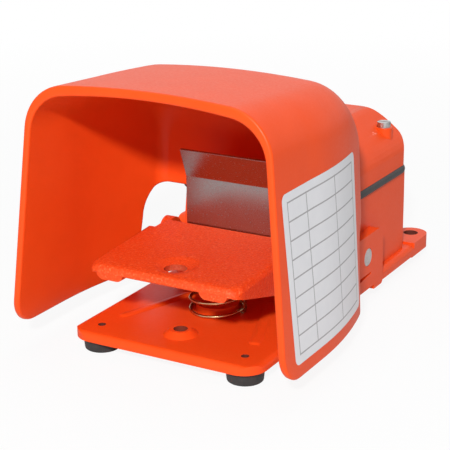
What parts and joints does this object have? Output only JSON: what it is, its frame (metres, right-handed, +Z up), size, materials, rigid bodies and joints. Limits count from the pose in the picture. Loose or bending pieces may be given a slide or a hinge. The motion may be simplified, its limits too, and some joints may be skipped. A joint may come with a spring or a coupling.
{
  "type": "industrial foot switch",
  "caption": "Heavy cast foot switch: a hinged treadle with a toe gate under a full hood, a sealed switch housing behind it and mounting ears.",
  "frame": {"origin": "on the floor plane under the middle of the whole switch", "axes": "+Z up, -Y towards the operator's foot and the open hood, +X to the operator's right"},
  "size_m": [0.1724, 0.2606, 0.1566],
  "materials": {
    "orange_casting": "glossy orange enamel on cast iron",
    "black_rubber": "matt moulded rubber",
    "gate_steel": "dull plated sheet steel",
    "bright_steel": "zinc plated steel",
    "spring_steel": "yellow zinc plated spring wire",
    "bronze": "sintered bronze",
    "brass": "plain brass",
    "switch_case": "dark phenolic moulding",
    "plunger_plastic": "smooth black plastic",
    "ground_green": "green painted screw"
  },
  "bodies": {
    "housing": {"base": "orange_casting", "cover": "orange_casting", "cover_gasket": "black_rubber", "cover_screws": "bright_steel", "hood": "orange_casting", "hood_screws": "bright_steel", "pivot_pin": "bright_steel", "pin_set_screws": "bright_steel", "rubber_feet": "black_rubber", "foot_screws": "bright_steel", "return_spring": "spring_steel", "rod_guide": "bronze", "rod_seal": "black_rubber", "switch_bracket": "bright_steel", "bracket_screws": "bright_steel", "switch_body": "switch_case", "switch_screws": "bright_steel", "terminal_screws": "brass", "ground_screw": "ground_green"},
    "treadle": {"treadle": "orange_casting", "treadle_bushes": "bronze", "actuating_screw": "bright_steel", "actuating_locknut": "bright_steel", "gate_shaft": "bright_steel", "gate_clips": "bright_steel"},
    "gate": {"gate": "gate_steel", "gate_spring": "spring_steel"},
    "push_rod": {"push_rod": "bright_steel"},
    "switch_plunger": {"switch_plunger": "plunger_plastic"}
  },
  "joints": [
    {"name": "treadle_press", "type": "hinge", "parent": "housing", "child": "treadle", "pos_m": [0, 0.02512, 0.0315], "axis": [1, 0, 0], "range_deg": [0, 6.5], "stiffness_Nm_per_rad": 22, "springref_deg": -9.17, "deforming": ["return_spring"]},
    {"name": "gate_push", "type": "hinge", "parent": "treadle", "child": "gate", "pos_m": [0, -0.02918, 0.0495], "axis": [-1, 0, 0], "range_deg": [0, 18], "stiffness_Nm_per_rad": 0.25, "springref_deg": -28.65},
    {"name": "push_rod_lift", "type": "slide", "parent": "housing", "child": "push_rod", "axis": [0, 0, 1], "range_m": [0, 0.0029]},
    {"name": "plunger_press", "type": "slide", "parent": "housing", "child": "switch_plunger", "axis": [0, 0, 1], "range_m": [0, 0.0029]}
  ],
  "couplings": [
    {"joint": "push_rod_lift", "follows": "treadle_press", "m_per_rad": 0.025},
    {"joint": "plunger_press", "follows": "treadle_press", "m_per_rad": 0.025}
  ]
}
